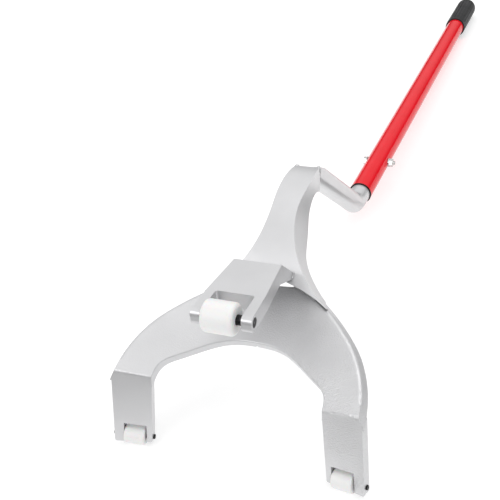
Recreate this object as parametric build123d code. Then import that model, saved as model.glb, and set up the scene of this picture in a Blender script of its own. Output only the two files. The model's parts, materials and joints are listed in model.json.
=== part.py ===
"""Fork-headed demount bar for tubeless truck tyres.

A steel arch plate with two bent feet stands on the wheel rim.  A forged neck rises from its crest and
carries a slotted bracket over the mouth of the fork.  Each foot and the bracket hold a nylon roller that
turns freely on a steel pin.  A bent bar leads back from the neck into a long tube with a rubber grip.

Frame: millimetres, +Z up, +X across the fork, +Y from the fork towards the grip.  The bar lies at rest on
its two foot rollers and its grip.  The shapes are drawn with the foot tips at Y = 0 and Z = 0, and are
moved at the end so that the origin is the middle of the footprint on the floor.
"""
from build123d import *
import os
from math import atan, cos, degrees, hypot, radians, sin, tan

# ---- Driving dimensions ----------------------------------------------------------------------------
# Handle tube and the bar that it slides over
TUBE_OD = 30.0
TUBE_WALL = 1.6
SPIGOT_DIA = 26.6
HANDLE_DROP = 1.46            # degrees that the handle falls towards the grip
TUBE_START_Y = 447.0
TUBE_END_Y = 1189.0
SPIGOT_END_Y = 590.0

# Grip
GRIP_START_Y = 1083.0
GRIP_END_Y = 1202.0
GRIP_DIA = 35.0
GRIP_FIT = 0.05               # radial, grip on tube
GRIP_END_ROUND = 11.0
GRIP_MOUTH_ROUND = 0.8
GROOVES = 20
GROOVE_WIDTH = 1.1
GROOVE_DEPTH = 0.9

# Cross bolt that holds the tube on the bar
BOLT_Y = 538.0
BOLT_DIA = 6.0
BOLT_HOLE = 6.6
BOLT_END = 24.5               # how far the thread reaches from the middle
BOLT_HEAD = 4.0
HEX_FLATS = 10.0
WASHER_DIA = 12.0
WASHER_THICK = 1.2
NUT_HEIGHT = 5.2

# Bent bar, as places (Y, Z) in the plane X = 0
ELBOW = (419.5, 42.4)
LEG_RISE = 41.5               # degrees, from the elbow up to the neck
ELBOW_RADIUS = 26.0
LEG_WIDTH = 24.4
LEG_DEPTH = 22.6
LEG_CORNER = 7.5
LEG_LENGTH = 206.0            # from the elbow's corner to the neck
LEG_ROUND_FROM = 22.0         # from the elbow's corner to where the bar starts to be round
LEG_ROUND_TO = 48.0           # from the elbow's corner to where the bar is fully square
BEVEL = 31.0                  # degrees, the slope that cuts the bar's top behind the neck

# Arch plate: its slope, its dish to each side, and its outline in its own plane
PLATE_THICK = 10.0
PLATE_ORIGIN = (15.0, 52.2)   # Y and Z of the plate's own origin, on its top face at X = 0
PLATE_RISE = 24.9             # degrees, up towards the neck
PLATE_DISH = 12.8             # degrees, each arm up towards its outside
DISH_RADIUS = 200.0
ARCH_CROWN = 71.5
ARCH_HALF = 88.4
ARCH_START = 14.0             # where each inner side starts to curve
ARCH_SHOULDER = [(70.0, 41.0), (40.7, 61.7)]   # places that the inner curve passes on its way to the crown
OUTER_RADIUS = 129.5
OUTER_BLEND = 40.0            # degrees, where the outer arc meets its flank
CREST_HALF = 36.0
CREST_V = 139.0
EDGE_DRAFT = 18.0             # degrees, slope of the outer edge
BLANK_V = -45.0               # where the arms' blank ends, below the folds
MOUTH_V = -60.0               # where the mouth's cut ends, below the blank
OUTER_ROUND = 4.0             # rounding of the top face's outer edge
MOUTH_ROUND = 1.5             # rounding of the top face's inner edge

# Feet
FOOT_CORNER = (88.4, 16.7, 74.8)   # inner end of the fold
FOOT_TOE = 12.0                    # degrees, outer edge forward
FOOT_SPLAY = 3.8                   # degrees, tip outward
FOOT_LEAN = 12.6                   # degrees, tip forward
FOOT_WIDTH = 40.0
FOOT_FLARE = 2.0                   # how much wider the foot is at its fold than at its tip
FOOT_LENGTH_IN = 78.0
FOOT_LENGTH_OUT = 82.0
FOOT_TIP_RADIUS = 1.8
FOOT_SLOT_FROM = 6.0
FOOT_SLOT_WIDTH = 24.0
FOOT_SLOT_DEPTH = 19.0
FOLD_RADIUS = 5.0

# Foot rollers
FOOT_ROLLER_DIA = 20.0
FOOT_ROLLER_LENGTH = 22.0
FOOT_ROLLER_EDGE = 1.8
FOOT_ROLLER_SHIFT = 0.6            # both foot rollers lie against the left side of their slots
FOOT_PIN_DIA = 5.0
FOOT_PIN_UP = 3.8                  # from the shorter prong's tip to the pin
FOOT_PIN_PROUD = 1.8
PIN_FIT = 0.04                     # radial, pin in its prongs
ROLLER_CLEARANCE = 0.08            # radial, roller on pin

# Roller bracket over the mouth
BRACKET_TOP = (108.5, 165.0)       # Y and Z of the back edge of its top face
BRACKET_TILT = 3.2                 # degrees, up towards the front
BRACKET_LENGTH = 92.6
BRACKET_BACK_HALF = 25.0
BRACKET_WAIST = (29.4, 54.0)       # half width and distance from the back where the taper ends
BRACKET_FRONT_HALF = 30.4
BRACKET_THICK = 16.5
NOSE_ROUND = 6.0
SLOT_HALF = 20.0
SLOT_FROM = 56.0
SLOT_CORNER = 2.5
HEEL_HALF = 25.0
HEEL = [(108.5, 165.0), (142.0, 129.5), (131.5, 131.5), (90.0, 152.5)]   # (Y, Z) of its corners
CENTRE_ROLLER_DIA = 31.4
CENTRE_ROLLER_LENGTH = 32.2
CENTRE_ROLLER_EDGE = 4.0
CENTRE_ROLLER_X = -2.7
CENTRE_PIN_DIA = 10.0
CENTRE_PIN_FROM = 85.0             # from the bracket's back edge to the pin
CENTRE_PIN_DEPTH = 7.6              # from the bracket's top face to the pin
CENTRE_PIN_HALF = 29.8

# Neck: its side profile as (Y, Z), and its half width against the distance along its own slope
NECK_TOP = [(263, 185), (243, 187.2), (219, 185.8), (198, 181.7), (180, 173.5), (163, 161.5), (147, 148.5),
            (132, 135), (117, 121.5), (100, 112)]
NECK_UNDER = [(100, 95), (128, 104), (140, 109.5), (150, 115.5), (160, 122.5), (172, 128), (194, 131.9),
              (211, 140.4), (221, 153), (232, 163), (253, 160.5)]
NECK_SLOPE = 50.0                  # degrees
NECK_WIDTHS = [(13.0, 313), (15.6, 285), (14.2, 256), (17.2, 233), (24.0, 212), (38.0, 188), (54.0, 170.5),
               (66.0, 160.4)]
NECK_FRONT = [(52.0, 169.0), (36.0, 176.0), (20.0, 181.0), (0.0, 183.0)]
NECK_CLEAR = 22.0                  # the neck leaves this depth under the plate's top free
HOLLOW_HALF = 21.5                 # the shallow arch left open under the middle of the neck's front
HOLLOW_HEIGHT = 9.0
HOLLOW_FROM = 116.0                # along the plate
HOLLOW_TO = 134.0

# Cutting shapes run this far past what they cut
THROUGH = 90.0
FAR = 300.0                       # well outside the part, for the cutting shapes
ABOVE_PLATE = 120.0               # how far over the plate a foot is trimmed to the dish
GROOVE_ENDS = (8.0, 16.0)         # plain lengths left at the grip's mouth and at its closed end

# Weld beads
BEAD_RADIUS = 2.8
HEEL_BEAD_RADIUS = 1.4
FRONT_BEAD = [(25.0, 179.5), (36.0, 176.0), (50.0, 169.9)]   # X, and distance along the neck's slope
HEEL_BEAD = [(130.4, 133.5), (134.6, 137.3)]                 # (Y, Z) of the heel's contact with the neck
BAR_BEAD = [(264.6, 182.5), (258.8, 169.6)]                  # (Y, Z) of the bar's contact with the neck


# ---- Shared places ---------------------------------------------------------------------------------
def mirrored(shape):
    return mirror(shape, about=Plane.YZ)


side_plane = Plane(origin=(0, 0, 0), x_dir=(0, 1, 0), z_dir=(1, 0, 0))   # local x is Y, local y is Z

plate_plane = Plane(
    origin=(0, *PLATE_ORIGIN),
    x_dir=(1, 0, 0),
    z_dir=(0, -sin(radians(PLATE_RISE)), cos(radians(PLATE_RISE))),
)


def foot_frame():
    """Right foot: origin at the fold's inner end, x across it, y down to the tip, z out of its back."""
    side = sin(radians(FOOT_SPLAY))
    ahead = -sin(radians(FOOT_LEAN))
    down = Vector(side, ahead, -((1 - side**2 - ahead**2) ** 0.5))
    across = Vector(cos(radians(FOOT_TOE)), -sin(radians(FOOT_TOE)), 0)
    across = (across - down * across.dot(down)).normalized()
    return Plane(origin=FOOT_CORNER, x_dir=across, z_dir=across.cross(down))


foot_plane = foot_frame()


def foot_pin_frame():
    """Right foot's pin: origin in the middle of the slot, z along the pin."""
    middle = FOOT_SLOT_FROM + FOOT_SLOT_WIDTH / 2
    centre = foot_plane.from_local_coords((middle, FOOT_LENGTH_IN - FOOT_PIN_UP, PLATE_THICK / 2))
    return Plane(origin=centre, x_dir=foot_plane.y_dir, z_dir=foot_plane.x_dir)


foot_pin = foot_pin_frame()

bracket_plane = Plane(
    origin=(0, *BRACKET_TOP),
    x_dir=(1, 0, 0),
    z_dir=(0, sin(radians(BRACKET_TILT)), cos(radians(BRACKET_TILT))),
)   # local y runs back along the top face, so the front is at negative y

centre_pin = Plane(
    origin=bracket_plane.from_local_coords((0, -CENTRE_PIN_FROM, -CENTRE_PIN_DEPTH)),
    x_dir=(0, 1, 0),
    z_dir=(1, 0, 0),
)

handle_dir = Vector(0, cos(radians(HANDLE_DROP)), -sin(radians(HANDLE_DROP)))
leg_dir = Vector(0, -cos(radians(LEG_RISE)), sin(radians(LEG_RISE)))
elbow_point = Vector(0, *ELBOW)


def handle_plane(y):
    """Section plane across the handle at the given Y, with local z along the handle."""
    centre = elbow_point + handle_dir * ((y - ELBOW[0]) / handle_dir.Y)
    return Plane(origin=centre, x_dir=(1, 0, 0), z_dir=handle_dir)


def leg_plane(distance):
    """Section plane across the leg, with local z up the leg."""
    return Plane(origin=elbow_point + leg_dir * distance, x_dir=(1, 0, 0), z_dir=leg_dir)


bolt_plane = Plane(origin=handle_plane(BOLT_Y).origin, x_dir=(0, 1, 0), z_dir=(1, 0, 0))


# ---- Arch plate with its feet ----------------------------------------------------------------------
def dished(low, high, start=-90.0, end=190.0, half=170.0):
    """A dished slab between two levels that runs along the plate's own plane, its valley rounded."""
    rise = half * tan(radians(PLATE_DISH))
    lower = [(-half, low + rise), (0, low), (half, low + rise)]
    upper = [(half, high + rise), (0, high), (-half, high + rise)]
    section = make_face(Polyline(*lower, *upper, close=True))
    valley = section.vertices().filter_by(lambda v: abs(v.X) < 1).sort_by(Axis.Y)
    section = fillet(valley[0], DISH_RADIUS - low)
    valley = section.vertices().filter_by(lambda v: abs(v.X) < 1)
    section = fillet(valley, DISH_RADIUS - high)
    origin = plate_plane.from_local_coords((0, start, 0))
    across = Plane(origin=origin, x_dir=(-1, 0, 0), z_dir=plate_plane.y_dir)
    return extrude(across * section, end - start)


def dish_height(x):
    """Height of the dished top face over the plate's own plane."""
    dish = radians(PLATE_DISH)
    if abs(x) > DISH_RADIUS * sin(dish):
        return abs(x) * tan(dish)
    return DISH_RADIUS / cos(dish) - (DISH_RADIUS**2 - x**2) ** 0.5


def outer_outline(grow):
    """Right half of the plate's outer outline as a filled face, pushed outwards by an amount."""
    blend = radians(OUTER_BLEND)
    radius = OUTER_RADIUS + grow
    flank = (radius * cos(blend), radius * sin(blend) - 1)
    crest_end = (CREST_HALF + grow / 2, CREST_V + grow)
    edges = [
        Line((0, crest_end[1]), crest_end),
        TangentArc(flank, crest_end, tangent=(-sin(blend), cos(blend))),
        CenterArc((0, -1), radius, 0, OUTER_BLEND),
        Line((radius, -1), (radius, BLANK_V)),
        Line((radius, BLANK_V), (0, BLANK_V)),
        Line((0, BLANK_V), (0, crest_end[1])),
    ]
    return make_face(Wire([e for c in edges for e in c.edges()]))


def outer_blank():
    """Everything inside the plate's outer edge, which slants outwards from top face to underside."""
    dish = radians(PLATE_DISH)
    arm = Plane(
        origin=plate_plane.origin,
        x_dir=plate_plane.x_dir * cos(dish) + plate_plane.z_dir * sin(dish),
        z_dir=plate_plane.z_dir * cos(dish) - plate_plane.x_dir * sin(dish),
    )
    over, below = 8.0, 24.0
    draft = tan(radians(EDGE_DRAFT))
    upper = arm.offset(over) * outer_outline(-over * draft)
    lower = arm.offset(-below) * outer_outline(below * draft)
    right_half = Box(400, 800, 800, align=(Align.MIN, Align.CENTER, Align.CENTER))
    right = loft([upper, lower], ruled=True) & right_half
    return right + mirrored(right)


def mouth():
    """The open space inside the arch, cut square to the plate."""
    shoulder = (ARCH_HALF, ARCH_START)
    crown = (0, ARCH_CROWN)
    end = Line((0, MOUTH_V), (ARCH_HALF, MOUTH_V))
    side = Line((ARCH_HALF, MOUTH_V), shoulder)
    arch = Spline(shoulder, *ARCH_SHOULDER, crown, tangents=[(0, 1), (-1, 0)])
    middle = Line(crown, (0, MOUTH_V))
    half = make_face(Wire([e for c in (end, side, arch, middle) for e in c.edges()]))
    return extrude(plate_plane * (half + mirror(half, about=Plane.YZ)), THROUGH, both=True)


def foot_blank():
    """The foot as a flat plate, run up past the fold, with its slot, pin hole and rounded tips."""
    up = 40.0
    outline = make_face(
        Polyline(
            (0, -up),
            (0, FOOT_LENGTH_IN),
            (FOOT_WIDTH, FOOT_LENGTH_OUT),
            (FOOT_WIDTH + FOOT_FLARE, 0),
            (FOOT_WIDTH + FOOT_FLARE, -up),
            close=True,
        )
    )
    outline = fillet(outline.vertices().filter_by(lambda v: v.Y > FOOT_LENGTH_IN / 2), FOOT_TIP_RADIUS)
    slot_centre = FOOT_LENGTH_IN - FOOT_SLOT_DEPTH / 2 + FOOT_TIP_RADIUS
    slot = Pos(FOOT_SLOT_FROM + FOOT_SLOT_WIDTH / 2, slot_centre) * Rectangle(
        FOOT_SLOT_WIDTH, FOOT_SLOT_DEPTH + 2 * FOOT_TIP_RADIUS
    )
    plate = extrude(foot_plane * (outline - slot), PLATE_THICK)
    return plate - foot_pin.location * Cylinder(FOOT_PIN_DIA / 2 + PIN_FIT, 2 * FOOT_WIDTH)


def top_edges(body, outer):
    """The long edges of the dished top face, on its outside or along the mouth."""
    found = []
    for edge in body.edges():
        place = plate_plane.to_local_coords(edge.position_at(0.5))
        on_top = abs(place.Z - dish_height(place.X)) < 0.3
        reach = hypot(place.X, place.Y)
        beside = abs(place.X) > CREST_HALF / 2 and reach > ARCH_CROWN + ARCH_START + CREST_HALF / 2
        inside = place.Y > 0 and reach < ARCH_HALF
        if on_top and edge.length > 2 * PLATE_THICK and (beside if outer else inside):
            found.append(edge)
    return found


def fork_plate():
    slab = dished(-PLATE_THICK, 0)
    blank = outer_blank()
    arch = slab & blank
    arch = fillet(top_edges(arch, outer=True), OUTER_ROUND) - mouth()
    foot = foot_blank() - dished(0, ABOVE_PLATE) - (slab - blank)
    ahead = foot_plane * Pos(0, 0, -FAR / 2) * Box(FAR, FAR, FAR)
    arch = arch - ahead - mirrored(ahead)
    body = arch + foot + mirrored(foot)
    fold = foot_plane.from_local_coords((FOOT_WIDTH / 2, 0, 0))
    left_fold = Vector(-fold.X, fold.Y, fold.Z)
    folds = [body.edges().sort_by_distance(place)[0] for place in (fold, left_fold)]
    body = fillet(folds, FOLD_RADIUS)
    return fillet(top_edges(body, outer=False), MOUTH_ROUND)


# ---- Neck ------------------------------------------------------------------------------------------
def neck_bar():
    """Forged neck: a side profile cut to an outline that flares over the arch plate's crest."""
    top = Spline(*NECK_TOP)
    under = Spline(*NECK_UNDER)
    tip = Line(NECK_TOP[-1], NECK_UNDER[0])
    end = Line(NECK_UNDER[-1], NECK_TOP[0])
    profile = make_face(Wire([e for c in (top, tip, under, end) for e in c.edges()]))
    blank = extrude(side_plane * profile, THROUGH, both=True)
    slope_plane = Plane(
        origin=(0, 0, 0),
        x_dir=(1, 0, 0),
        z_dir=(0, -sin(radians(NECK_SLOPE)), cos(radians(NECK_SLOPE))),
    )
    back_point = (0, NECK_WIDTHS[0][1])
    back = Line(back_point, NECK_WIDTHS[0])
    edge = Spline(*NECK_WIDTHS)
    front = Polyline(NECK_WIDTHS[-1], *NECK_FRONT)
    middle = Line(NECK_FRONT[-1], back_point)
    half = make_face(Wire([e for c in (back, edge, front, middle) for e in c.edges()]))
    outline = half + mirror(half, about=Plane.YZ)
    body = blank & extrude(slope_plane * outline, FAR, both=True)
    under_plate = dished(-NECK_CLEAR, 0) & outer_blank()
    return body - under_plate - neck_hollow()


def neck_hollow():
    """Round-topped tunnel between the flat foot of the neck and the dished plate."""
    origin = plate_plane.from_local_coords((0, HOLLOW_FROM, dish_height(0)))
    section = Plane(origin=origin, x_dir=(-1, 0, 0), z_dir=plate_plane.y_dir)
    above = Pos(0, HOLLOW_HEIGHT / 2) * Rectangle(2 * HOLLOW_HALF, HOLLOW_HEIGHT)
    opening = Ellipse(HOLLOW_HALF, HOLLOW_HEIGHT) & above
    return extrude(section * opening, HOLLOW_TO - HOLLOW_FROM)


# ---- Roller bracket --------------------------------------------------------------------------------
def roller_bracket():
    """Slotted plate over the mouth, with a heel that stands on the neck."""
    waist_half, waist = BRACKET_WAIST
    right = [(BRACKET_BACK_HALF, 0), (waist_half, -waist), (BRACKET_FRONT_HALF, -BRACKET_LENGTH)]
    left = [(-x, y) for x, y in reversed(right)]
    outline = make_face(Polyline(*right, *left, close=True))
    slot_length = BRACKET_LENGTH - SLOT_FROM + 10
    slot = Pos(0, -SLOT_FROM - slot_length / 2) * RectangleRounded(2 * SLOT_HALF, slot_length, SLOT_CORNER)
    plate = extrude(bracket_plane * (outline - slot), -BRACKET_THICK)
    nose = plate.edges().filter_by(Axis.X).sort_by(Axis.Y)[:4]
    plate = fillet(nose, NOSE_ROUND)
    heel = extrude(side_plane * make_face(Polyline(*HEEL, close=True)), HEEL_HALF, both=True)
    bracket = plate + heel - neck
    return bracket - centre_pin.location * Cylinder(CENTRE_PIN_DIA / 2 + PIN_FIT, 4 * SLOT_HALF)


# ---- Rollers and pins ------------------------------------------------------------------------------
def roller(diameter, length, edge, pin_diameter):
    body = Cylinder(diameter / 2, length)
    body = fillet(body.edges(), edge)
    return body - Cylinder(pin_diameter / 2 + ROLLER_CLEARANCE, length)


def pin(diameter, length):
    return chamfer(Cylinder(diameter / 2, length).edges(), 0.4)


def foot_roller(side):
    """Foot roller on the right (side = 1) or the left (side = -1)."""
    body = roller(FOOT_ROLLER_DIA, FOOT_ROLLER_LENGTH, FOOT_ROLLER_EDGE, FOOT_PIN_DIA)
    placed = foot_pin.location * Pos(0, 0, -side * FOOT_ROLLER_SHIFT) * body
    return placed if side > 0 else mirrored(placed)


def foot_axle(side):
    length = FOOT_WIDTH + 2 * FOOT_PIN_PROUD
    to_middle = FOOT_WIDTH / 2 - FOOT_SLOT_FROM - FOOT_SLOT_WIDTH / 2
    placed = foot_pin.location * Pos(0, 0, to_middle) * pin(FOOT_PIN_DIA, length)
    return placed if side > 0 else mirrored(placed)


def centre_roller():
    body = roller(CENTRE_ROLLER_DIA, CENTRE_ROLLER_LENGTH, CENTRE_ROLLER_EDGE, CENTRE_PIN_DIA)
    return centre_pin.location * Pos(0, 0, CENTRE_ROLLER_X) * body


def centre_axle():
    return centre_pin.location * pin(CENTRE_PIN_DIA, 2 * CENTRE_PIN_HALF)


# ---- Handle ----------------------------------------------------------------------------------------
def handle_bar():
    """Bent bar: a square leg that turns round before the elbow and ends as a spigot in the tube."""
    turn = LEG_RISE - HANDLE_DROP
    tangent = ELBOW_RADIUS * tan(radians(turn / 2))
    square = RectangleRounded(LEG_WIDTH, LEG_DEPTH, LEG_CORNER)
    round_end = Circle(SPIGOT_DIA / 2)
    leg = extrude(leg_plane(LEG_ROUND_TO) * square, LEG_LENGTH - LEG_ROUND_TO)
    change = loft([leg_plane(LEG_ROUND_FROM) * round_end, leg_plane(LEG_ROUND_TO) * square])
    stub = extrude(leg_plane(tangent) * round_end, LEG_ROUND_FROM - tangent)
    bend_start = elbow_point + leg_dir * tangent
    bend = TangentArc(bend_start, elbow_point + handle_dir * tangent, tangent=-leg_dir)
    elbow = sweep(Plane(origin=bend_start, x_dir=(1, 0, 0), z_dir=-leg_dir) * round_end, path=bend)
    spigot_start = handle_plane(ELBOW[0] + tangent * handle_dir.Y)
    spigot_length = (handle_plane(SPIGOT_END_Y).origin - spigot_start.origin).length
    spigot = extrude(spigot_start * round_end, spigot_length)
    bar = leg + change + stub + elbow + spigot
    top = NECK_TOP[0]
    end = NECK_UNDER[-1]
    lean = (end[0] - top[0], end[1] - top[1])
    cut = make_face(
        Polyline(
            (top[0] - 4 * lean[0], top[1] - 4 * lean[1]),
            (top[0] + 4 * lean[0], top[1] + 4 * lean[1]),
            (100, 60),
            (100, FAR),
            close=True,
        )
    )
    bevel_end = top[1] - (FAR - top[0]) * tan(radians(BEVEL))
    bevel = make_face(Polyline(top, (FAR, bevel_end), (FAR, FAR), (top[0], FAR), close=True))
    ahead = extrude(side_plane * (cut + bevel), THROUGH, both=True)
    return bar - ahead - bolt_plane.location * Cylinder(BOLT_HOLE / 2, THROUGH)


def handle_tube():
    start = handle_plane(TUBE_START_Y)
    length = (handle_plane(TUBE_END_Y).origin - start.origin).length
    tube = extrude(start * (Circle(TUBE_OD / 2) - Circle(TUBE_OD / 2 - TUBE_WALL)), length)
    return tube - bolt_plane.location * Cylinder(BOLT_HOLE / 2, THROUGH)


def grip_cap():
    """Closed rubber grip with grooves along it and a lip at its mouth."""
    start = handle_plane(GRIP_START_Y)
    length = (handle_plane(GRIP_END_Y).origin - start.origin).length
    depth = (handle_plane(TUBE_END_Y).origin - start.origin).length + 0.3
    body = Cylinder(GRIP_DIA / 2, length, align=(Align.CENTER, Align.CENTER, Align.MIN))
    body = fillet(body.edges().sort_by(Axis.Z)[-1], GRIP_END_ROUND)
    body = fillet(body.edges().sort_by(Axis.Z)[0], GRIP_MOUTH_ROUND)
    body -= Cylinder(TUBE_OD / 2 + GRIP_FIT, depth, align=(Align.CENTER, Align.CENTER, Align.MIN))
    groove_length = length - sum(GROOVE_ENDS)
    middle = GROOVE_ENDS[0] + groove_length / 2
    groove = Pos(GRIP_DIA / 2, 0, middle) * Box(2 * GROOVE_DEPTH, GROOVE_WIDTH, groove_length)
    for step in range(GROOVES):
        body -= Rot(Z=(step + 0.5) * 360 / GROOVES) * groove
    return start.location * body


def hexagon():
    return RegularPolygon(HEX_FLATS / 2, 6, major_radius=False)


def handle_bolt():
    """Hexagon bolt: its head on the left, its thread through the tube to the right."""
    under_head = -TUBE_OD / 2 - WASHER_THICK
    head = extrude(hexagon(), -BOLT_HEAD)
    shank = Cylinder(BOLT_DIA / 2, BOLT_END - under_head, align=(Align.CENTER, Align.CENTER, Align.MIN))
    shank = chamfer(shank.edges().sort_by(Axis.Z)[-1], 0.8)
    return bolt_plane.location * Pos(0, 0, under_head) * (head + shank)


def washer(side):
    ring = Circle(WASHER_DIA / 2) - Circle(BOLT_DIA / 2 + 0.2)
    return bolt_plane.location * Pos(0, 0, side * (TUBE_OD / 2)) * extrude(ring, side * WASHER_THICK)


def handle_nut():
    ring = hexagon() - Circle(BOLT_DIA / 2 + 0.05)
    return bolt_plane.location * Pos(0, 0, TUBE_OD / 2 + WASHER_THICK) * extrude(ring, NUT_HEIGHT)


# ---- Weld beads ------------------------------------------------------------------------------------
def neck_toe(x, along):
    """Where the neck's front meets the plate, from X and the distance along the neck's slope."""
    slope = radians(NECK_SLOPE)
    rise = tan(radians(PLATE_RISE))
    base = PLATE_ORIGIN[1] - PLATE_ORIGIN[0] * rise + dish_height(x) / cos(radians(PLATE_RISE))
    y = (along - base * sin(slope)) / (cos(slope) + rise * sin(slope))
    return Vector(x, y, base + rise * y)


def bead(points, radius=BEAD_RADIUS):
    """A round bead along a chain of points, with round ends."""
    path = Polyline(*points)
    start = Plane(origin=points[0], z_dir=points[1] - points[0])
    tube = sweep(start * Circle(radius), path=path, transition=Transition.ROUND)
    return tube + Pos(*points[0]) * Sphere(radius) + Pos(*points[-1]) * Sphere(radius)


def neck_weld():
    """One bead on each side of the hollow, where the neck's front stands on the plate."""
    right = bead([neck_toe(x, along) for x, along in FRONT_BEAD])
    return (right + mirrored(right)) - fork - neck


def u_bead(places, half, radius=BEAD_RADIUS):
    """A bead down one side, across and up the other side, from two places in the middle plane."""
    near, far = places
    chain = [Vector(-half, *near), Vector(-half, *far), Vector(half, *far), Vector(half, *near)]
    return bead(chain, radius)


def bracket_weld():
    return u_bead(HEEL_BEAD, HEEL_HALF, HEEL_BEAD_RADIUS) - neck - bracket


def bar_weld():
    return u_bead(BAR_BEAD, LEG_WIDTH / 2) - neck - bar


fork = fork_plate()
neck = neck_bar()
bracket = roller_bracket()

bar = handle_bar()

parts = {
    "fork_plate": fork,
    "neck_bar": neck,
    "neck_weld": neck_weld(),
    "roller_bracket": bracket,
    "bracket_weld": bracket_weld(),
    "handle_bar": bar,
    "bar_weld": bar_weld(),
    "handle_tube": handle_tube(),
    "grip_cap": grip_cap(),
    "handle_bolt": handle_bolt(),
    "bolt_washer": washer(-1),
    "nut_washer": washer(1),
    "handle_nut": handle_nut(),
    "centre_roller": centre_roller(),
    "centre_axle": centre_axle(),
    "right_foot_roller": foot_roller(1),
    "right_foot_axle": foot_axle(1),
    "left_foot_roller": foot_roller(-1),
    "left_foot_axle": foot_axle(-1),
}


def resting_place():
    """Turns the bar so that its foot rollers and its grip touch the floor, and centres its footprint."""
    roller_low = parts["right_foot_roller"].bounding_box().min.Z
    grip_low = parts["grip_cap"].bounding_box().min.Z
    settle = Rot(X=-degrees(atan((grip_low - roller_low) / GRIP_END_Y)))
    boxes = [(settle * shape).bounding_box() for shape in parts.values()]
    front = min(box.min.Y for box in boxes)
    back = max(box.max.Y for box in boxes)
    low = min(box.min.Z for box in boxes)
    return Pos(0, -(front + back) / 2, -low) * settle


if __name__ == "__main__":
    os.makedirs("parts", exist_ok=True)
    place = resting_place()
    for node, shape in parts.items():
        placed = place * shape
        export_step(placed, f"parts/{node}.step")
        box = placed.bounding_box()
        print(node, len(shape.solids()), round(shape.volume), box.min, box.max)
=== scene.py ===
"""Looks of the fork-headed demount bar: paint, rubber, nylon, steel, weld beads, and the studio."""
import json
import math

import bpy
from mathutils import Matrix, Vector


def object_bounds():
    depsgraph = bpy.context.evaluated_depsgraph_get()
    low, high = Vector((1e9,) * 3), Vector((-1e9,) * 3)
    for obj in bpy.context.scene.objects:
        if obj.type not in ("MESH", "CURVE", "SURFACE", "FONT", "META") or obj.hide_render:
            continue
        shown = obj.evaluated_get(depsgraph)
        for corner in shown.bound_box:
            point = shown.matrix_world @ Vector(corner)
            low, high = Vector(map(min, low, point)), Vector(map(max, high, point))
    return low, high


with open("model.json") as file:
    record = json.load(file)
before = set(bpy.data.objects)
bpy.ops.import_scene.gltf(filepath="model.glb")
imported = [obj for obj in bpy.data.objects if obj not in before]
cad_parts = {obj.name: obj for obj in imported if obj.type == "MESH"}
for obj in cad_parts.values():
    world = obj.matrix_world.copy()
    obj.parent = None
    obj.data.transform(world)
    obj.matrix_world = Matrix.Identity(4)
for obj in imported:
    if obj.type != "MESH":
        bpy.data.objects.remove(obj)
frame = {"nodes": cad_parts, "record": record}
cad_low, cad_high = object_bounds()
scene = bpy.context.scene
MM = 0.001

record = frame["record"]
grip_mount = next(mount for mount in record["mounts"] if mount["name"] == "grip_outside")
handle_axis = Vector(grip_mount["axis"]).normalized()
tube = frame["nodes"]["handle_tube"]
mouth = min(vertex.co.dot(handle_axis) for vertex in tube.data.vertices)


# ---- Materials -------------------------------------------------------------------------------------
class Nodes:
    """A material's node tree with short helpers."""

    def __init__(self, name):
        self.material = bpy.data.materials.new(name)
        self.material.use_nodes = True
        self.tree = self.material.node_tree
        self.shader = self.tree.nodes["Principled BSDF"]

    def add(self, kind, **values):
        node = self.tree.nodes.new(kind)
        for key, value in values.items():
            if hasattr(node, key):
                setattr(node, key, value)
            else:
                node.inputs[key.replace("_", " ")].default_value = value
        return node

    def link(self, source, target):
        self.tree.links.new(source, target)

    def set(self, **values):
        for key, value in values.items():
            self.shader.inputs[key.replace("_", " ")].default_value = value

    def position(self):
        return self.add("ShaderNodeTexCoord").outputs["Object"]

    def noise(self, scale, detail=4.0, roughness=0.55, vector=None):
        node = self.add("ShaderNodeTexNoise", Scale=scale, Detail=detail, Roughness=roughness)
        self.link(vector or self.position(), node.inputs["Vector"])
        return node.outputs["Fac"]

    def ramp(self, source, low, high, from_low=0.0, from_high=1.0):
        node = self.add("ShaderNodeMapRange", From_Min=from_low, From_Max=from_high)
        node.inputs["To Min"].default_value = low
        node.inputs["To Max"].default_value = high
        self.link(source, node.inputs["Value"])
        return node.outputs["Result"]

    def mix(self, factor, first, second):
        node = self.add("ShaderNodeMix", data_type="RGBA")
        node.inputs[6].default_value = (*first, 1) if isinstance(first, tuple) else (0, 0, 0, 1)
        node.inputs[7].default_value = (*second, 1) if isinstance(second, tuple) else (0, 0, 0, 1)
        if not isinstance(first, tuple):
            self.link(first, node.inputs[6])
        if not isinstance(second, tuple):
            self.link(second, node.inputs[7])
        self.link(factor, node.inputs[0])
        return node.outputs[2]

    def times(self, first, second, operation="MULTIPLY"):
        node = self.add("ShaderNodeMath", operation=operation)
        for socket, value in zip(node.inputs, (first, second)):
            if isinstance(value, (int, float)):
                socket.default_value = value
            else:
                self.link(value, socket)
        return node.outputs[0]

    def bump(self, height, distance, strength=1.0, after=None):
        node = self.add("ShaderNodeBump", Strength=strength, Distance=distance)
        self.link(height, node.inputs["Height"])
        if after is not None:
            self.link(after, node.inputs["Normal"])
        return node.outputs["Normal"]


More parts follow.
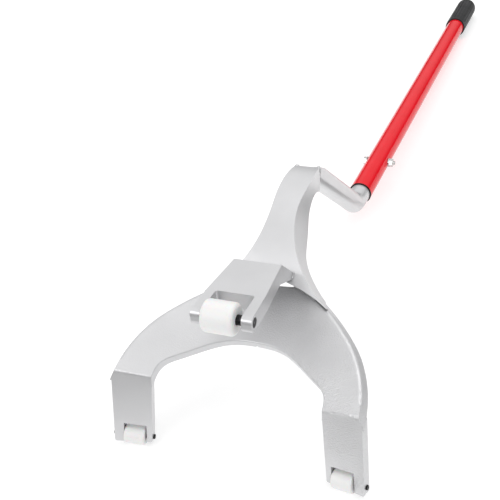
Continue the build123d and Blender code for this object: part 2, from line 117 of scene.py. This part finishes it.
def silver_paint(name, tone, stipple=0.0, cast=1.0, ripple=0.0, shade_reach=7.0):
    """Satin aluminium paint over steel: orange peel, uneven metal below, and painted shade darkening
    the creases.
    """
    m = Nodes(name)
    broad = m.noise(12, 3)
    flake = m.noise(2600, 2, 0.7)
    dark = tuple(c * 0.93 for c in tone)
    colour = m.mix(m.ramp(broad, 0, 1, 0.35, 0.65), dark, tone)
    speck = m.mix(m.ramp(flake, 0, 0.08, 0.50, 0.75), colour, (0.95, 0.95, 0.97))
    # Painted shade: ambient occlusion darkens the base colour towards near-black in creases, corners
    # and recesses, broken into patches by noise.
    crease = m.add("ShaderNodeAmbientOcclusion", samples=5, Distance=shade_reach * MM)
    crease_shade = m.ramp(crease.outputs["AO"], 0.70, 0.0, 0.25, 0.72)
    patchy_crease_shade = m.times(crease_shade, m.ramp(m.noise(330, 4), 0.75, 1.0, 0.35, 0.6))
    wear_and_shade = m.mix(patchy_crease_shade, speck, (0.06, 0.06, 0.063))
    m.link(wear_and_shade, m.shader.inputs["Base Color"])
    m.link(m.ramp(m.noise(90, 3), 0.30, 0.38, 0.3, 0.7), m.shader.inputs["Roughness"])
    m.set(Metallic=0.6, Specular_IOR_Level=0.4)
    normal = m.bump(m.noise(620, 2), 0.00004 * cast, 0.5)
    normal = m.bump(m.noise(48, 3), 0.0004 * cast, 0.30, normal)
    if stipple:
        cells = m.add("ShaderNodeTexVoronoi", Scale=760.0)
        m.link(m.position(), cells.inputs["Vector"])
        across = m.add("ShaderNodeSeparateXYZ")
        m.link(m.position(), across.inputs["Vector"])
        blotches = m.ramp(m.noise(14, 2), 0.3, 1.0, 0.35, 0.60)
        right_side = m.ramp(across.outputs["X"], 0.15, 1.0, -0.01, 0.04)
        patch = m.times(blotches, right_side)
        normal = m.bump(m.times(cells.outputs["Distance"], patch), 0.0006 * stipple, 0.6, normal)
    if ripple:
        normal = m.bump(m.noise(ripple, 2, 0.4), 0.0012, 0.8, normal)
    m.link(normal, m.shader.inputs["Normal"])
    return m.material


def red_powder_coat():
    """Gloss red coat with a clear lacquer sheen, a faint orange peel and a painted dark shadow line
    at the tube's mouth.
    """
    m = Nodes("red_coat")
    broad = m.noise(40, 4)
    colour = m.mix(m.ramp(broad, 0, 1, 0.3, 0.7), (0.72, 0.006, 0.014), (0.79, 0.008, 0.019))
    along = m.add("ShaderNodeVectorMath", operation="DOT_PRODUCT")
    along.inputs[1].default_value = handle_axis
    m.link(m.position(), along.inputs[0])
    # Painted shadow: a near-black band along the tube's mouth stands in for the shade in the gap
    # where it fits over the bar.
    mouth_shadow = m.ramp(along.outputs["Value"], 1.0, 0.0, mouth + 0.0006, mouth + 0.0016)
    colour_with_mouth_shadow = m.mix(mouth_shadow, colour, (0.020, 0.006, 0.006))
    m.link(colour_with_mouth_shadow, m.shader.inputs["Base Color"])
    m.link(m.ramp(m.noise(160, 4), 0.22, 0.30, 0.35, 0.65), m.shader.inputs["Roughness"])
    m.set(Coat_Weight=1.0, Coat_IOR=1.28, Coat_Roughness=0.05, Specular_IOR_Level=0.0)
    peel = m.bump(m.noise(330, 2), 0.00008, 0.5)
    m.link(peel, m.shader.inputs["Normal"])
    return m.material


def grip_rubber():
    """Black moulded rubber with a fine matt grain and a little dust."""
    m = Nodes("grip_rubber_black")
    dust = m.noise(45, 5)
    colour = m.mix(m.ramp(dust, 0, 1, 0.35, 0.75), (0.010, 0.010, 0.011), (0.030, 0.030, 0.032))
    m.link(colour, m.shader.inputs["Base Color"])
    m.link(m.ramp(m.noise(300, 3), 0.42, 0.60), m.shader.inputs["Roughness"])
    m.set(Specular_IOR_Level=0.35)
    grain = m.bump(m.noise(1500, 2, 0.7), 0.00008, 0.6)
    m.link(grain, m.shader.inputs["Normal"])
    return m.material


def white_nylon():
    """Turned white nylon: slightly translucent, with a faint fine bump and scuffs."""
    m = Nodes("nylon_white")
    scuff = m.noise(420, 5)
    colour = m.mix(m.ramp(scuff, 0, 0.6, 0.58, 0.80), (0.80, 0.80, 0.795), (0.70, 0.70, 0.70))
    m.link(colour, m.shader.inputs["Base Color"])
    m.link(m.ramp(m.noise(220, 3), 0.34, 0.46), m.shader.inputs["Roughness"])
    m.set(Subsurface_Weight=0.2, Subsurface_Scale=0.004, Specular_IOR_Level=0.4)
    m.link(m.bump(m.noise(700, 2), 0.00005, 0.4), m.shader.inputs["Normal"])
    return m.material


def black_steel():
    """Black-oxide pin with bare steel showing where it has been rubbed."""
    m = Nodes("pin_black_oxide")
    wear_and_shade = m.noise(260, 5)
    colour = m.mix(m.ramp(wear_and_shade, 0, 1, 0.60, 0.74), (0.012, 0.012, 0.013), (0.16, 0.16, 0.17))
    m.link(colour, m.shader.inputs["Base Color"])
    m.link(m.ramp(m.noise(500, 3), 0.25, 0.42), m.shader.inputs["Roughness"])
    m.set(Metallic=0.6, Specular_IOR_Level=0.4)
    m.link(m.bump(m.noise(900, 2), 0.00004, 0.5), m.shader.inputs["Normal"])
    return m.material


def zinc_fastener():
    """Bright zinc plate with a slightly uneven film."""
    m = Nodes("zinc_plate")
    film = m.noise(240, 5)
    colour = m.mix(m.ramp(film, 0, 1, 0.35, 0.7), (0.50, 0.50, 0.495), (0.70, 0.70, 0.69))
    m.link(colour, m.shader.inputs["Base Color"])
    m.link(m.ramp(m.noise(420, 4), 0.18, 0.32), m.shader.inputs["Roughness"])
    m.set(Metallic=1.0)
    m.link(m.bump(m.noise(800, 3), 0.00004, 0.5), m.shader.inputs["Normal"])
    return m.material


plate_paint = silver_paint("silver_fork", (0.67, 0.67, 0.68), stipple=1.6)
neck_paint = silver_paint("silver_forged", (0.68, 0.68, 0.69), cast=1.4)
# The bracket's painted crease shade reaches further, darkening its roller slot.
bracket_paint = silver_paint("silver_bracket", (0.66, 0.66, 0.67), cast=0.6, shade_reach=13.0)
weld_paint = silver_paint("silver_weld", (0.62, 0.62, 0.63), ripple=520)
finishes = {
    "fork_plate": plate_paint,
    "neck_bar": neck_paint,
    "neck_weld": weld_paint,
    "roller_bracket": bracket_paint,
    "bracket_weld": weld_paint,
    "handle_bar": bracket_paint,
    "bar_weld": weld_paint,
}
red = red_powder_coat()
rubber = grip_rubber()
nylon = white_nylon()
black = black_steel()
zinc = zinc_fastener()
finishes["handle_tube"] = red
finishes["grip_cap"] = rubber
for node in ("handle_bolt", "bolt_washer", "nut_washer", "handle_nut"):
    finishes[node] = zinc
for node in ("centre_roller", "right_foot_roller", "left_foot_roller"):
    finishes[node] = nylon
for node in ("centre_axle", "right_foot_axle", "left_foot_axle"):
    finishes[node] = black

SOFT_EDGES = {      # bevel in mm
    "fork_plate": 0.8,
    "roller_bracket": 1.0,
    "handle_bar": 0.6,
    "neck_bar": 1.8,
    "handle_bolt": 0.35,
    "handle_nut": 0.35,
    "handle_tube": 0.4,
}
for node, obj in frame["nodes"].items():
    obj.data.materials.clear()
    obj.data.materials.append(finishes[node])
    if node in SOFT_EDGES:
        bevel = obj.modifiers.new("soft_edges", "BEVEL")
        bevel.width = SOFT_EDGES[node] * MM
        bevel.segments = 2
        bevel.limit_method = "ANGLE"
        bevel.angle_limit = math.radians(32)
        bevel.harden_normals = False
        bevel.use_clamp_overlap = True


BEAD_LUMPS = {"neck_weld": 1.6, "bracket_weld": 0.4, "bar_weld": 1.0}   # height in mm


def rough_beads():
    """Gives the weld beads their lumps."""
    lumps = bpy.data.textures.new("weld_lumps", "CLOUDS")
    lumps.noise_scale = 0.0035
    lumps.noise_depth = 2
    for node, height in BEAD_LUMPS.items():
        obj = frame["nodes"][node]
        split = obj.modifiers.new("finer", "SUBSURF")
        split.subdivision_type = "SIMPLE"
        split.levels = split.render_levels = 2
        lumpy = obj.modifiers.new("lumps", "DISPLACE")
        lumpy.texture = lumps
        lumpy.texture_coords = "LOCAL"
        lumpy.strength = height * MM
        lumpy.mid_level = 0.45


rough_beads()


# ---- Floor, light and camera -----------------------------------------------------------------------
FLOOR_HALF = 12.0
FLOOR_GAP = 0.0002      # the floor lies this far under the object
CARD_LIFT = 0.001
CARD_FADE = 0.22        # share of a card over which its tone changes


def flat_sheet(name, corners):
    mesh = bpy.data.meshes.new(name)
    mesh.from_pydata(corners, [], [(0, 1, 2, 3)])
    obj = bpy.data.objects.new(name, mesh)
    scene.collection.objects.link(obj)
    return obj


def floor():
    half = FLOOR_HALF
    corners = [(-half, -half, 0), (half, -half, 0), (half, half, 0), (-half, half, 0)]
    obj = flat_sheet("studio_floor", corners)
    obj.location.z = cad_low.z - FLOOR_GAP
    m = Nodes("studio_paper")
    grain = m.noise(30, 2)
    colour = m.mix(m.ramp(grain, 0, 1), (0.60, 0.60, 0.60), (0.62, 0.62, 0.62))
    m.link(colour, m.shader.inputs["Base Color"])
    m.set(Roughness=0.95, Specular_IOR_Level=0.1, Emission_Color=(1, 1, 1, 1), Emission_Strength=0.48)
    obj.data.materials.append(m.material)


def reflection_card(name, left, right, near, far, tones):
    """A card on the floor that only reflections see. Its tone changes beside its near edge."""
    corners = [(x, y, CARD_LIFT) for x, y in ((left, far), (right, far), (right, near), (left, near))]
    obj = flat_sheet(name, corners)
    m = Nodes(name)
    place = m.add("ShaderNodeSeparateXYZ")
    m.link(m.position(), place.inputs["Vector"])
    fade = m.ramp(place.outputs["Y"], tones[0], tones[1], near, near + (far - near) * CARD_FADE)
    m.link(m.mix(fade, (0, 0, 0), (1, 1, 1)), m.shader.inputs["Base Color"])
    m.set(Roughness=0.9, Specular_IOR_Level=0.0)
    obj.data.materials.append(m.material)
    obj.visible_camera = False
    obj.visible_diffuse = False
    obj.visible_shadow = False


def area(name, place, target, size, power):
    data = bpy.data.lights.new(name, "AREA")
    data.shape = "RECTANGLE"
    data.size, data.size_y = size
    data.energy = power
    obj = bpy.data.objects.new(name, data)
    scene.collection.objects.link(obj)
    obj.location = place
    obj.rotation_euler = (Vector(target) - Vector(place)).to_track_quat("-Z", "Y").to_euler()


floor()
area("top_soft", (0.7, 0.1, 2.2), (0, -0.3, 0.1), (2.0, 1.6), 11.5)
area("front_soft", (-0.9, -2.1, 1.55), (0, -0.5, 0.1), (1.3, 0.9), 8.5)
front = cad_low.y
reflection_card("front_card", -1.5, 1.5, front - 0.06, front - 1.5, (0.80, 0.02))
reflection_card("side_card", 0.05, 0.6, front + 0.50, front + 0.20, (0.30, 0.25))


def studio_world():
    """White light that grows from near the horizon upwards."""
    world = bpy.data.worlds.new("studio")
    scene.world = world
    world.use_nodes = True
    tree = world.node_tree
    sky = tree.nodes.new("ShaderNodeTexCoord")
    split = tree.nodes.new("ShaderNodeSeparateXYZ")
    lift = tree.nodes.new("ShaderNodeMapRange")
    lift.interpolation_type = "SMOOTHSTEP"
    for socket, value in (("From Min", 0.05), ("From Max", 0.46), ("To Min", 0.05), ("To Max", 1.0)):
        lift.inputs[socket].default_value = value
    tree.links.new(sky.outputs["Generated"], split.inputs["Vector"])
    tree.links.new(split.outputs["Z"], lift.inputs["Value"])
    tree.links.new(lift.outputs["Result"], tree.nodes["Background"].inputs["Strength"])
    tree.nodes["Background"].inputs["Color"].default_value = (1, 1, 1, 1)


CAMERA_PLACE = (0.3123, -1.1268, 0.6753)
CAMERA_TURN = 26.45         # degrees, to the left of straight towards the handle's end
CAMERA_DOWN = 34.45         # degrees, below level
CAMERA_ROLL = -8.25         # degrees, about its own line of sight
LENS = 64.53                # mm, on a 36 mm sensor


def photo_camera():
    data = bpy.data.cameras.new("photo_camera")
    data.sensor_width = 36.0
    data.lens = LENS
    data.clip_start = 0.05
    data.clip_end = 60.0
    obj = bpy.data.objects.new("photo_camera", data)
    scene.collection.objects.link(obj)
    turn = Matrix.Rotation(math.radians(CAMERA_TURN), 4, "Z")
    tilt = Matrix.Rotation(math.radians(90 - CAMERA_DOWN), 4, "X")
    roll = Matrix.Rotation(math.radians(CAMERA_ROLL), 4, "Z")
    obj.matrix_world = Matrix.Translation(Vector(CAMERA_PLACE)) @ turn @ tilt @ roll
    scene.camera = obj


studio_world()
photo_camera()
scene.view_settings.view_transform = "Standard"
